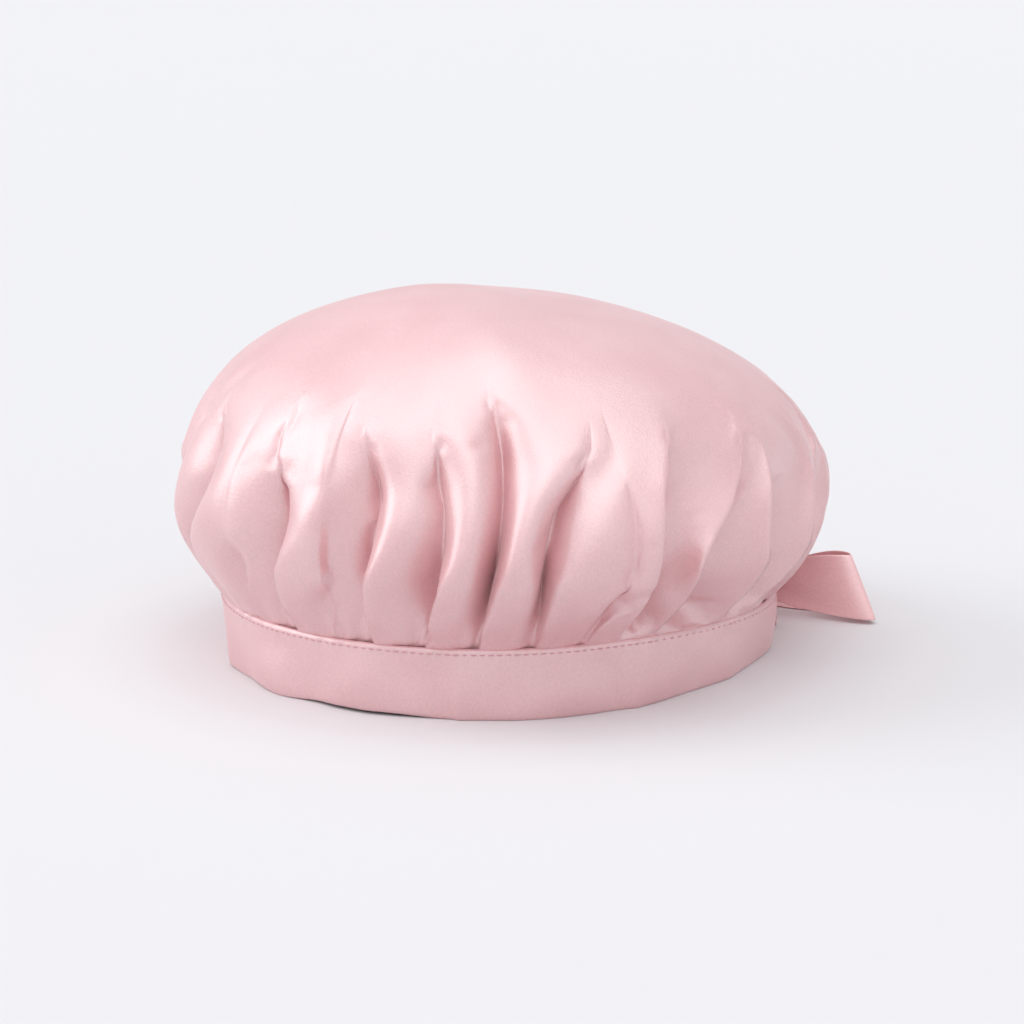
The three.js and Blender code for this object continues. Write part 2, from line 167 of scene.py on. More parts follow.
def grid_piece(name, points, material, closed_cols=False):
    """A piece from rows of points."""
    faces = grid_faces(*points.shape[:2], closed_cols)
    return piece(name, points.reshape(-1, 3), faces, material)


def thicken(obj, thickness, offset):
    mod = obj.modifiers.new("cloth thickness", "SOLIDIFY")
    mod.thickness = thickness * MM
    mod.offset = offset
    mod.use_even_offset = False


def soften(obj):
    mod = obj.modifiers.new("smooth", "SUBSURF")
    mod.levels = 1
    mod.render_levels = 1


# Materials; scales are per metre, spans are lowest and highest levels

DRIFT = {"Scale": 38.0, "Detail": 1.0, "Roughness": 0.55}
THREADS = {"Scale": 1500.0, "Detail": 1.0}
CRUMPLE = {"Scale": 120.0, "Detail": 1.0, "Roughness": 0.5}
WEFT = {"Scale": 900.0, "Detail": 2.0}
DRIFT_SPAN = (0.3, 0.72)
FLECK_SPAN = (0.3, 0.7)
FLECK_TINT = (0.93, 1.07)
GLOSS_SPAN = (0.25, 0.75)
GLOSS_DROP = 0.04
GLOSS_GAIN = 0.05
THREAD_BUMP = {"Strength": 0.2, "Distance": 0.0004}
CRUMPLE_BUMP = {"Strength": 0.05, "Distance": 0.002}
WEAVE_BUMP = {"Strength": 0.4, "Distance": 0.0004}
WEAVE_SPAN = (0.2, 1.0)
WARP_SHARE = 0.7
SATIN_FINISH = {
    "IOR": 2.15,
    "Specular IOR Level": 1.0,
    "Sheen Weight": 0.34,
    "Sheen Roughness": 0.45,
    "Sheen Tint": (1.0, 0.9, 0.92, 1.0),
}


def shader(name):
    material = bpy.data.materials.new(name)
    material.use_nodes = True
    tree = material.node_tree
    return material, tree, tree.nodes["Principled BSDF"]


def set_inputs(made, values):
    for label, value in values.items():
        made.inputs[label].default_value = value


def node(tree, kind, inputs=None, **settings):
    made = tree.nodes.new(kind)
    for key, value in settings.items():
        setattr(made, key, value)
    set_inputs(made, inputs or {})
    return made


def noise(tree, coords, inputs):
    made = node(tree, "ShaderNodeTexNoise", inputs)
    tree.links.new(coords.outputs["Object"], made.inputs["Vector"])
    return made.outputs["Fac"]


def ramp(tree, level, span, deep, pale):
    """Colour that goes from deep to pale as the level crosses its span."""
    made = node(tree, "ShaderNodeValToRGB")
    for stop, place, colour in zip(made.color_ramp.elements, span, (deep, pale)):
        stop.position = place
        stop.color = (*colour, 1.0)
    tree.links.new(level, made.inputs["Fac"])
    return made.outputs["Color"]


def ranged(tree, level, span, target):
    """A level carried from its span over to the target's."""
    labels = ("From Min", "From Max", "To Min", "To Max")
    made = node(tree, "ShaderNodeMapRange", dict(zip(labels, (*span, *target))))
    tree.links.new(level, made.inputs["Value"])
    return made.outputs["Result"]


def bump(tree, height, inputs):
    made = node(tree, "ShaderNodeBump", inputs)
    tree.links.new(height, made.inputs["Height"])
    return made


def satin(name, deep, pale, roughness):
    """Silk satin: soft colour drift, fine float-thread grain, broad pale gloss and a little sheen."""
    material, tree, bsdf = shader(name)
    coords = node(tree, "ShaderNodeTexCoord")
    drift = noise(tree, coords, DRIFT)
    threads = noise(tree, coords, THREADS)
    crumple = noise(tree, coords, CRUMPLE)
    tinted = node(tree, "ShaderNodeVectorMath", operation="SCALE")
    tree.links.new(ramp(tree, drift, DRIFT_SPAN, deep, pale), tinted.inputs[0])
    tree.links.new(ranged(tree, threads, FLECK_SPAN, FLECK_TINT), tinted.inputs["Scale"])
    tree.links.new(tinted.outputs["Vector"], bsdf.inputs["Base Color"])
    gloss = ranged(tree, threads, GLOSS_SPAN, (roughness - GLOSS_DROP, roughness + GLOSS_GAIN))
    tree.links.new(gloss, bsdf.inputs["Roughness"])
    fine = bump(tree, threads, THREAD_BUMP)
    broad = bump(tree, crumple, CRUMPLE_BUMP)
    tree.links.new(fine.outputs["Normal"], broad.inputs["Normal"])
    tree.links.new(broad.outputs["Normal"], bsdf.inputs["Normal"])
    set_inputs(bsdf, SATIN_FINISH)
    return material


def woven(name, deep, pale, pitch, roughness, axis):
    """Plain woven or ribbed strip: two crossing thread waves with uneven colour."""
    material, tree, bsdf = shader(name)
    coords = node(tree, "ShaderNodeTexCoord")
    wave = {"Scale": 1.0 / pitch, "Distortion": 0.6, "Detail": 1.0}
    warp = node(tree, "ShaderNodeTexWave", wave, bands_direction=axis)
    tree.links.new(coords.outputs["Object"], warp.inputs["Vector"])
    mix = node(tree, "ShaderNodeMath", operation="MULTIPLY_ADD")
    mix.inputs[1].default_value = WARP_SHARE
    tree.links.new(warp.outputs["Fac"], mix.inputs[0])
    tree.links.new(noise(tree, coords, WEFT), mix.inputs[2])
    weave = mix.outputs["Value"]
    tree.links.new(ramp(tree, weave, WEAVE_SPAN, deep, pale), bsdf.inputs["Base Color"])
    tree.links.new(bump(tree, weave, WEAVE_BUMP).outputs["Normal"], bsdf.inputs["Normal"])
    set_inputs(bsdf, {"Roughness": roughness})
    return material


SATIN = satin("satin_pink", (0.707, 0.35, 0.366), (0.768, 0.423, 0.439), 0.39)
# The ribbon is the crown's satin with its pink painted lighter: painted light, standing in for light that the
# bow by the nape does not get
RIBBON_SATIN_PAINTED_LIGHTER = satin("ribbon_pink_painted_lighter", (0.89, 0.455, 0.465), (0.93, 0.525, 0.535), 0.42)
THREAD = woven("thread_pink", (0.60, 0.30, 0.32), (0.78, 0.45, 0.47), 0.0009, 0.6, "X")
INTERLINING = woven("interlining_white", (0.72, 0.70, 0.68), (0.86, 0.85, 0.83), 0.0016, 0.85, "Z")
ELASTIC = woven("elastic_white", (0.62, 0.60, 0.58), (0.84, 0.83, 0.81), 0.0012, 0.7, "Z")


# Crown: one round of satin, gathered into the band and puffed out by its own fullness

SHARES = np.array([0, 0.025, 0.05, 0.08, 0.12, 0.18, 0.26, 0.36,
                   0.47, 0.58, 0.68, 0.77, 0.85, 0.91, 0.95, 0.98])
LOWER_ROWS = 16
UPPER_ROWS = 40
HEM_LEVELS = (-1.0, -0.5)
HEM_DROP = 4.0
SEAM_OUT = 0.9
SEAM_UP = 0.15
CROWN_THICKNESS = 0.5
RUN_SHARES = np.linspace(0.0, 1.0, 81)
RUN_PASSES = 30
FLOOR_PASSES = 3
EASE_PASSES = 12

# Folds that the photograph shows: share of the full depth, width of the hollow left and right of
# its floor, depth of a scoop up to the next fold, and the line as angles at shares of the crown's
# rise; a depth below 0 is a crease that stands out
PLEAT_DEPTH = 14.5
SEEN_PLEATS = [
    (0.95, 14.0, 2.0, 0.0, [(-110, 0), (-107, 0.25), (-102.5, 0.48), (-109, 0.7)]),
    (0.35, 9.0, 1.6, 0.0, [(-94, 0), (-91, 0.18), (-92.5, 0.31)]),
    (0.95, 20.0, 1.8, 0.0, [(-81.5, 0), (-80, 0.23), (-79.5, 0.41), (-84, 0.6)]),
    (0.4, 8.0, 1.6, 0.0, [(-71.5, 0), (-70, 0.22)]),
    (0.95, 22.0, 1.8, 0.0, [(-62.5, 0), (-61.5, 0.31), (-61, 0.5), (-66, 0.7)]),
    (0.85, 18.0, 2.2, 0.0, [(-51.5, 0), (-48.5, 0.28), (-48, 0.43), (-52.5, 0.73)]),
    (1.0, 9.0, 1.8, 0.0, [(-40.5, 0), (-38, 0.38), (-37, 0.63), (-41, 0.84)]),
    (0.9, 6.5, 3.2, 0.0, [(-29, 0), (-30, 0.34), (-29, 0.46), (-19, 0.66)]),
    (0.55, 8.0, 1.8, 0.0, [(-18, 0), (-15.5, 0.23)]),
    (-0.22, 11.0, 2.5, 0.8, [(-10.5, 0), (-11.5, 0.3), (-10.5, 0.42), (-7, 0.56), (2, 0.74)]),
    (-0.15, 3.0, 2.5, 0.95, [(-1.5, 0), (0, 0.13), (-1, 0.26), (3, 0.38), (8.5, 0.5), (14, 0.62)]),
    (-0.14, 3.0, 3.0, 0.9, [(17, 0), (14.5, 0.16), (14.5, 0.3), (15.5, 0.45), (18.5, 0.62)]),
    (-0.1, 3.0, 3.0, 0.5, [(24, 0), (29, 0.12), (31, 0.33), (34, 0.5)]),
]

# Folds of the far side, spread evenly; their depths, tops and leans take turns
FAR_PLEATS = 19
FAR_FROM = 28.0
FAR_TO = 250.0
FAR_WIDTHS = (12.0, 2.0)
FAR_DEPTHS = (0.8, 0.6, 0.9, 0.7, 0.85)
FAR_TOPS = (0.56, 0.36, 0.7, 0.44, 0.78, 0.4, 0.62)
FAR_LEANS = (5.0, -2.0, -4.0, 3.0)

# How folds grow and fade, as start and span: the foot, scoop and tongue in millimetres above the
# seam, the easing in levels, the rest in shares of each fold's own rise
FOOT_SHARE = 0.1
FOOT_GROWTH = (0.0, 27.0)
PLEAT_FADE = (0.68, 0.32)
WIDENING = (0.35, 0.65)
WIDEN_RIGHT = 5.0
WIDEN_LEFT = -0.35
LEFT_SHARPNESS = 0.9
HEM_SHARE = 0.2
SCOOP_GROWTH = (0.0, 9.0)
SCOOP_FADE = (0.5, 0.55)
SCOOP_SKEW = 0.75
TONGUE_SWELL = 1.8
TONGUE_GROWTH = (0.0, 25.0)
TONGUE_FADE = (40.0, 35.0)
EASING = (0.7, 0.4)

# The folded edge laps over its hollow where that is deep and narrow
FOLD_LAP = 2.0
LAP_REACH = 8.0
LAP_DEPTH = 4.0
LAP_WIDEST = 3.5
LAP_FADE = (0.2, 0.45)
LAP_LIFT = 0.5

# Small tucks just above the seam: depth, seed and waves, and their height
TUCKS = (0.8, 31, (71, 89, 113))
TUCK_HEIGHT = 4.5

# Soft swells, hollows and creases of the dome: outward push, reach along the cloth, and the point or
# line that it follows as angles and heights
SWELLS = [
    (2.6, 26, [(-128, 96)]), (-2.6, 26, [(48, 98)]), (-4.0, 18, [(-128, 70)]), (-2.5, 16, [(48, 44)]),
    (0.9, 22, [(-70, 104)]), (-0.9, 22, [(-10, 108)]), (0.8, 20, [(20, 92)]), (0.8, 16, [(-104, 100)]),
    (1.6, 26, [(120, 96)]), (-1.5, 24, [(165, 92)]), (1.5, 26, [(210, 98)]), (-1.2, 24, [(85, 104)]),
    (-1.2, 2.6, [(-124.5, 72.6), (-113.5, 90.6), (-111, 96.5)]),
    (-0.9, 2.6, [(22, 95.6), (28, 84.4), (37, 67.4)]),
    (-1.3, 5.0, [(-79.5, 89), (-77, 82), (-75.5, 73)]),
    (1.0, 5.0, [(-73, 92), (-70, 80)]),
    (0.8, 5.0, [(-33, 88), (-31, 100), (-37, 112)]),
]

# Settling: spare length round the rings below the dome, how firmly a level is held, and the cloth
SPARE = 0.035
SPARE_FADE = (0.9, 0.6)
HOLD = 0.02
SEAM_HOLD = 0.3
SEAM_HOLD_FADE = (0.0, 0.6)
TOP_HOLD = 0.6
TOP_HOLD_GROWTH = (1.35, 0.6)
SETTLE_FRAMES = 20
GRAVITY_SHARE = 0.02
CLOTH = {
    "quality": 6,
    "mass": 0.001,
    "air_damping": 2.0,
    "tension_stiffness": 20.0,
    "compression_stiffness": 20.0,
    "shear_stiffness": 5.0,
    "bending_stiffness": 0.6,
    "tension_damping": 1.0,
    "compression_damping": 1.0,
    "shear_damping": 1.0,
    "bending_damping": 0.0,
    "vertex_group_mass": "hold",
    "use_pressure": True,
    "uniform_pressure_force": 30.0,
}


def crown_base(deg, level):
    """Plain crown: level 0 at the seam, 1 at the belly, 2 at the top, below 0 inside the band."""
    seam = band_top(deg)
    bx, by = oval(deg, BAND_OVAL, np.where(level < 0.0, 0.0, SEAM_OUT))
    wx, wy = oval(deg, BELLY_OVAL)
    low = np.clip(level, 0.0, 1.0)
    weights = 3.0 * low * (1.0 - low) ** 2, 3.0 * low**2 * (1.0 - low)
    out = weights[0] * BELLY_LEAVE[0] + weights[1] * BELLY_ARRIVE[0] + low**3
    x, y = bx + (wx - bx) * out, by + (wy - by) * out
    up = weights[0] * BELLY_LEAVE[1] + weights[1] * BELLY_ARRIVE[1] + low**3
    z = seam + SEAM_UP + (BELLY_Z - seam - SEAM_UP) * up
    high = np.clip(level - 1.0, 0.0, 1.0) * math.pi / 2
    shrink = np.cos(high) ** (2.0 / DOME_ROUNDNESS)
    dome = level > 1.0
    x, y = np.where(dome, wx * shrink, x), np.where(dome, wy * shrink, y)
    z = np.where(dome, BELLY_Z + DOME_RISE * np.sin(high) ** (2.0 / DOME_ROUNDNESS), z)
    z = np.where(level < 0.0, seam + level * HEM_DROP, z)
    return np.stack([x, y, z], -1)


def all_pleats():
    pleats = list(SEEN_PLEATS)
    step = (FAR_TO - FAR_FROM) / (FAR_PLEATS + 1)
    for i in range(FAR_PLEATS):
        foot = FAR_FROM + step * (i + 1)
        path = [(foot, 0.0), (foot + FAR_LEANS[i % len(FAR_LEANS)], FAR_TOPS[i % len(FAR_TOPS)])]
        pleats.append((FAR_DEPTHS[i % len(FAR_DEPTHS)], *FAR_WIDTHS, 0.0, path))
    return pleats


def rounded(path):
    """Angles of a fold's line at RUN_SHARES, with the corners between its points rounded off."""
    angles, shares = np.array(path, dtype=float).T
    line = np.interp(RUN_SHARES, shares, angles)
    for _ in range(RUN_PASSES):
        line = np.concatenate([line[:1], (line[:-2] + 2.0 * line[1:-1] + line[2:]) / 4.0, line[-1:]])
    return line


def crown_levels():
    return np.concatenate([
        HEM_LEVELS,
        np.linspace(0.0, 1.0, LOWER_ROWS, endpoint=False),
        1.0 + np.linspace(0.0, 1.0, UPPER_ROWS, endpoint=False),
    ])


def fold_floors(level, pleats):
    """Angle of each pleat's floor at each level."""
    runs = [rounded(p[4]) for p in pleats]
    floors = np.repeat([[run[0] for run in runs]], len(level), 0)
    for _ in range(FLOOR_PASSES):
        climb = (crown_base(floors, level[:, None])[..., 2] - BAND_HEIGHT) / CROWN_RISE
        floors = np.stack([np.interp(climb[:, i], RUN_SHARES, run) for i, run in enumerate(runs)], 1)
    return floors


def fold_depths(pleats, climb, wide, shares, in_band):
    """How far the cloth sinks in at each point, and how far its folded edges lap over their hollows."""
    depth, left, right, scoop = np.array([p[:4] for p in pleats]).T
    depth, scoop = depth * PLEAT_DEPTH, scoop * PLEAT_DEPTH
    tops = np.array([p[4][-1][1] for p in pleats])
    foot = FOOT_SHARE + (1.0 - FOOT_SHARE) * rising(climb, *FOOT_GROWTH)

    def hollow(which, width, widen):
        rise = climb / (tops[which] * CROWN_RISE)[:, None]
        width = width[which][:, None] * (1.0 + widen * rising(rise, *WIDENING))
        fade = 1.0 - rising(rise, *PLEAT_FADE)
        return width, depth[which][:, None] * foot * fade, rise

    here = np.arange(len(pleats))
    past = wide * shares
    width, deep, rise = hollow(here, right, WIDEN_RIGHT)
    sunk_right = deep * (1.0 - smooth(past / width))
    lip = smooth(past / width) * (1.0 - rising(past, width, LAP_REACH))
    lap = FOLD_LAP * lip * np.clip(deep / LAP_DEPTH, 0.0, 1.0) * (right[:, None] < LAP_WIDEST)
    lap = lap * (1.0 - rising(rise, *LAP_FADE))
    before = wide * (1.0 - shares)
    width, deep, _ = hollow(np.roll(here, -1), left, WIDEN_LEFT)
    sunk_left = deep * smooth(1.0 - before / width) ** LEFT_SHARPNESS

    inward = np.maximum(np.maximum(sunk_left, sunk_right), 0.0)
    outward = np.minimum(np.minimum(sunk_left, sunk_right), 0.0)
    sunk = inward + outward
    sunk = np.where(in_band, HEM_SHARE * sunk, sunk - LAP_LIFT * lap)
    scooped = rising(climb, *SCOOP_GROWTH) * (1.0 - rising(rise, *SCOOP_FADE))
    sunk = sunk + scoop[:, None] * scooped * hump(shares**SCOOP_SKEW)
    tongue = rising(climb, *TONGUE_GROWTH) * (1.0 - rising(climb, *TONGUE_FADE)) * (scoop == 0.0)[:, None]
    return sunk - TONGUE_SWELL * tongue * hump(shares), lap


def eased(sunk, weight, columns):
    """Depths of the folds, evened out with their neighbours where the weight of a row is above 0."""
    flat = sunk.reshape(len(weight), -1)
    weight = weight[:, None]
    for _ in range(EASE_PASSES * columns**2 // len(SHARES) ** 2):
        round_ring = (np.roll(flat, 1, 1) + 2.0 * flat + np.roll(flat, -1, 1)) / 4.0
        flat = flat + weight * (round_ring - flat)
        below, above = np.concatenate([flat[:1], flat[:-1]]), np.concatenate([flat[1:], flat[-1:]])
        upward = (below + 2.0 * flat + above) / 4.0
        flat = flat + 0.5 * weight * (upward - flat)
    return flat.reshape(sunk.shape)


def crown_cloth(level, shares, pleats):
    """Pleated cloth: its columns follow the floors of the pleats, so that each folded edge stays crisp."""
    floors = fold_floors(level, pleats)
    onward = np.roll(floors, -1, 1)
    onward[:, -1] += 360.0
    deg = floors[..., None] + (onward - floors)[..., None] * shares
    levels = np.broadcast_to(level[:, None, None], deg.shape)
    base = crown_base(deg, levels)
    girth = np.hypot(base[..., 0], base[..., 1])
    climb = base[..., 2] - band_top(deg)
    wide = np.radians(onward - floors)[..., None] * girth

    sunk, lap = fold_depths(pleats, climb, wide, shares, levels < 0)
    tucks = ripple(deg, *TUCKS) * np.exp(-((climb - TUCK_HEIGHT) / TUCK_HEIGHT) ** 2)
    sunk = eased(sunk + tucks * (levels > 0), rising(level, *EASING), len(shares))

    deg = deg - np.degrees(lap / girth) * (levels >= 0)
    base = crown_base(deg, levels)
    heart = np.stack([np.zeros_like(deg), np.zeros_like(deg), np.minimum(base[..., 2], BELLY_Z)], -1)
    for push, reach, line in SWELLS:
        sunk = sunk - push * nearness(deg, base[..., 2], girth, reach, line) * (levels > 0)
    shaped = base + unit(heart - base) * sunk[..., None]
    return shaped.reshape(len(level), -1, 3)


def rest_lengths(shaped, level):
    """Shape that carries the cut: the pleated cloth with a little more length round each ring."""
    cut = shaped.copy()
    cut[:, :, :2] *= 1.0 + SPARE * (1.0 - rising(level, *SPARE_FADE))[:, None, None]
    return np.concatenate([cut.reshape(-1, 3), [[0.0, 0.0, BELLY_Z + DOME_RISE]]])


def hold_weights(level, columns):
    """How firmly each point keeps its place while the cloth settles; the top point comes last."""
    seam_hold = SEAM_HOLD * (1.0 - rising(level, *SEAM_HOLD_FADE))
    top_hold = TOP_HOLD * rising(level, *TOP_HOLD_GROWTH)
    hold = np.where(level <= 0.0, 1.0, HOLD + seam_hold + top_hold)
    return np.concatenate([np.repeat(hold, columns), [HOLD + TOP_HOLD]])


def settled_points(obj, rest, hold):
    """Where Blender's cloth comes to rest under a light inner pressure, held at the hem and the top."""
    obj.shape_key_add(name="Basis")
    cut = obj.shape_key_add(name="cut")
    cut.data.foreach_set("co", (rest * MM).astype(np.float32).ravel())
    group = obj.vertex_groups.new(name="hold")
    for weight in np.unique(np.round(hold, 2)):
        if weight > 0.0:
            group.add(np.nonzero(np.round(hold, 2) == weight)[0].tolist(), float(weight), "REPLACE")
    # The cut counts only with a modifier before the cloth, so this one is there and splits nothing
    whole = obj.modifiers.new("whole", "EDGE_SPLIT")
    whole.use_edge_angle = False
    whole.use_edge_sharp = False
    cloth = obj.modifiers.new("cloth", "CLOTH")
    for setting, value in CLOTH.items():
        setattr(cloth.settings, setting, value)
    cloth.settings.rest_shape_key = cut
    cloth.settings.effector_weights.gravity = GRAVITY_SHARE
    cloth.collision_settings.use_collision = False
    cloth.collision_settings.use_self_collision = False
    cloth.point_cache.frame_start = 1
    cloth.point_cache.frame_end = SETTLE_FRAMES + 1
    scene = bpy.context.scene
    for f in range(1, SETTLE_FRAMES + 1):
        scene.frame_set(f)
    settled = obj.evaluated_get(bpy.context.evaluated_depsgraph_get()).data
    points = np.empty(len(obj.data.vertices) * 3, np.float32)
    settled.vertices.foreach_get("co", points)
    return points.reshape(-1, 3) / MM


def refine(grid):
    """Twice as many rows and columns, on a smooth curve through the points; the columns close in a ring."""
    def between(a, b, c, d):
        return (9.0 * (b + c) - a - d) / 16.0
    middle = between(np.roll(grid, 1, 1), grid, np.roll(grid, -1, 1), np.roll(grid, -2, 1))
    wide = np.stack([grid, middle], 2).reshape(grid.shape[0], -1, 3)
    before = np.concatenate([2 * wide[:1] - wide[1:2], wide[:-2]])
    after = np.concatenate([wide[2:], 2 * wide[-1:] - wide[-2:-1]])
    middle = between(before, wide[:-1], wide[1:], after)
    tall = np.empty((2 * len(wide) - 1, wide.shape[1], 3))
    tall[0::2], tall[1::2] = wide, middle
    return tall


def crown_mesh(grid, top):
    rows, cols, _ = grid.shape
    faces = grid_faces(rows, cols, closed_cols=True)
    ring = np.arange((rows - 1) * cols, rows * cols)
    faces += [(a, b, rows * cols) for a, b in zip(ring, np.roll(ring, -1))]
    return piece("crown", np.concatenate([grid.reshape(-1, 3), [top]]), faces, SATIN)


def make_crown():
    """Fine pleated cloth, moved as a coarser one of the same design moves when it settles."""
    level = crown_levels()
    pleats = all_pleats()
    place = np.array([0.0, OVAL_Y, 0.0])
    top = np.array([0.0, 0.0, BELLY_Z + DOME_RISE]) + place
    fine = np.interp(np.arange(2 * len(level) - 1) / 2.0, np.arange(len(level)), level)
    cloth = crown_cloth(fine, SHARES, pleats) + place
    shaped = crown_cloth(level, SHARES[::2], pleats)
    draft = crown_mesh(shaped + place, top)
    hold = hold_weights(level, shaped.shape[1])
    settled = settled_points(draft, rest_lengths(shaped, level), hold)
    bpy.data.objects.remove(draft)
    bpy.context.scene.frame_set(1)
    cloth = cloth + refine(settled[:-1].reshape(shaped.shape) - shaped - place)
    top = settled[-1]
    obj = crown_mesh(cloth, top)
    thicken(obj, CROWN_THICKNESS, -1.0)
    return obj


# Band, its interlining and its topstitch: strips swept round the head's oval

BAND_FROM = NAPE + CASING_HALF_SPAN + END_GAP
BAND_TO = NAPE - CASING_HALF_SPAN - END_GAP + 360.0
BAND_STEPS = 280
BAND_GIRTH = 90.0
BAND_CORNERS = (-150, -112, -86, -64, -44.5, -4.5, 20, 42, 64)
FACET_RADIUS = 100.0
FACET_SHARE = 0.5
CORNER_SHARE = 0.3
CLOTH_THICKNESS = 0.45

# Slow waver of the lower part and fine puckers near the seam: height, seed and waves
WAVER = (0.55, 5, (9, 13, 17))
WAVER_GROWTH = 1.6
PUCKERS = (0.3, 6, (57, 71, 83))
PUCKER_FADE = 2.2

# At the left the lower edge turns in, and beside that it lifts off the table: size, angle and reach
TURNED_IN = (3.0, -104.0, 9.0)
LIFTED = (1.1, -66.0, 15.0)

# Soft dents of the band: outward push, reach, and the line as angles and heights
BAND_DENTS = [
    (1.9, 7.5, [(-104, 0), (-93, 6)]), (-0.9, 6.0, [(-84, 16), (-78, 4)]), (0.8, 5.0, [(-72, 3), (-64, 12)]),
    (-1.1, 7.0, [(-54, 14), (-47, 3)]), (1.7, 8.0, [(-31, 0), (-18, 6)]), (-0.7, 5.0, [(-13, 16), (-8, 5)]),
    (0.8, 5.0, [(0, 4), (9, 13)]), (-0.8, 5.0, [(20, 15), (25, 6)]), (0.7, 5.0, [(38, 5), (44, 12)]),
    (-0.8, 6.0, [(-128, 13), (-122, 5)]), (0.8, 6.0, [(-150, 6), (-142, 13)]),
    (0.6, 6.0, [(170, 8), (178, 12)]),
]
DENT_GROWTH = 4.0

# Band in section, as shares of its height and distances out from the oval
BAND_SAMPLES = np.concatenate([[0.0, 0.03], np.linspace(0.1, 1.0, 10)])
TURNED_EDGE = [(1.0, 0.35), (0.992, 0.85)]
BAND_FOLD = [(0.012, 1.0), (0.0, 0.0), (0.012, -0.9)]
OUTER_LEAF = 1.25
LEAF_PUFF = 0.5
PUFF_SPREAD = 1.08
PUFF_FULLNESS = 0.6
INNER_LEAF = -1.15

INTERLINING_STEPS = 200
INTERLINING_ROWS = 5
INTERLINING_LOW = 1.6
INTERLINING_HIGH = 13.8
INTERLINING_OUT = -0.05
INTERLINING_THICKNESS = 0.6
INTERLINING_INSET = 1.0

STITCHES = 168
STITCH_INSET = 1.0
STITCH_LENGTH = 2.3
STITCH_RADIUS = 0.24
STITCH_DROP = 1.5
STITCH_OUT = 1.62
STITCH_STATIONS = np.linspace(-0.5, 0.5, 7)
STITCH_SIDES = 6
STITCH_BEND = 0.94
STITCH_ARCH = 1.5
STITCH_SINK = 0.9
STITCH_TIP = 0.35


def facet(deg):
    """How far the lower edge falls inside the oval between its soft corners, in millimetres."""
    corners = np.array(BAND_CORNERS, dtype=float)
    d = wrap(deg)
    slot = np.clip(np.searchsorted(corners, d) - 1, 0, len(corners) - 2)
    span = corners[slot + 1] - corners[slot]
    share = np.clip((d - corners[slot]) / span, 0.0, 1.0)
    deep = FACET_RADIUS * (1.0 - np.cos(np.radians(span / 2.0)))
    inside = (d > corners[0]) & (d < corners[-1])
    return np.where(inside, deep * hump(share) - CORNER_SHARE * deep, 0.0)


def band_point(deg, z, out):
    """A point on the standing band: z above the table, out from the oval's line."""
    deg, z, out = np.broadcast_arrays(np.asarray(deg, float), np.asarray(z, float), np.asarray(out, float))
    low = 1.0 - np.clip(z / band_top(deg), 0.0, 1.0)
    grow = out - FACET_SHARE * facet(deg) * smooth(low)
    grow = grow + ripple(deg, *WAVER) * smooth(WAVER_GROWTH * low)
    grow = grow + ripple(deg, *PUCKERS) * np.clip(1.0 - low * PUCKER_FADE, 0.0, 1.0)
    turned, turned_at, turned_over = TURNED_IN
    grow = grow - turned * smooth(low) * np.exp(-(wrap(deg - turned_at) / turned_over) ** 2)
    for push, reach, line in BAND_DENTS:
        grow = grow + push * nearness(deg, z, BAND_GIRTH, reach, line) * smooth(DENT_GROWTH * low)
    lift, lifted_at, lifted_over = LIFTED
    return beside_oval(deg, grow, z + lift * np.exp(-(wrap(deg - lifted_at) / lifted_over) ** 4) * low)


def band_section():
    """Folded strip in section: from the seam down the outer leaf, round the fold, up the inner leaf."""
    outer = []
    for s in BAND_SAMPLES[1:-1]:
        puff = LEAF_PUFF * math.sin(math.pi * min(1.0, s * PUFF_SPREAD)) ** PUFF_FULLNESS
        outer.append((1.0 - s, OUTER_LEAF + puff))
    inner = [(s, INNER_LEAF) for s in BAND_SAMPLES[1:]]
    return TURNED_EDGE + outer + BAND_FOLD + inner


def make_band():
    deg = np.linspace(BAND_FROM, BAND_TO, BAND_STEPS)
    points = [band_point(deg, share * (band_top(deg) + SEAM_UP), out) for share, out in band_section()]
    obj = grid_piece("band", np.stack(points), SATIN)
    obj.data.flip_normals()
    thicken(obj, CLOTH_THICKNESS, 0.0)
    soften(obj)
    return obj


def make_interlining():
    deg = np.linspace(BAND_FROM + INTERLINING_INSET, BAND_TO - INTERLINING_INSET, INTERLINING_STEPS)
    rise = INTERLINING_HIGH - INTERLINING_LOW
    heights = [INTERLINING_LOW + rise * s for s in np.linspace(0, 1, INTERLINING_ROWS)]
    points = np.stack([band_point(deg, z, INTERLINING_OUT) for z in heights])
    obj = grid_piece("interlining", points, INTERLINING)
    thicken(obj, INTERLINING_THICKNESS, 0.0)
    return obj


def stitch_row(name, centres, along, outward, length, radius):
    """A row of sewn stitches: short rounded threads that dip into the cloth at both ends."""
    points, faces = [], []
    last = len(STITCH_STATIONS) - 1
    for c, a, o in zip(centres, along, outward):
        side = np.cross(a, o)
        start = len(points)
        for s in STITCH_STATIONS:
            bulge = math.cos(math.pi * s * STITCH_BEND)
            mid = c + a * (s * length) + o * (radius * (STITCH_ARCH * bulge - STITCH_SINK))
            thick = radius * (STITCH_TIP + (1.0 - STITCH_TIP) * bulge)
            for k in range(STITCH_SIDES):
                turn = 2.0 * math.pi * k / STITCH_SIDES
                points.append(mid + (o * math.cos(turn) + side * math.sin(turn)) * thick)
        rings = start + np.arange((last + 1) * STITCH_SIDES).reshape(last + 1, STITCH_SIDES)
        for low, high in zip(rings, rings[1:]):
            for k in range(STITCH_SIDES):
                onward = (k + 1) % STITCH_SIDES
                faces.append((low[k], low[onward], high[onward], high[k]))
        faces.append(tuple(reversed(rings[0])))
        faces.append(tuple(rings[last]))
    return piece(name, points, faces, THREAD)


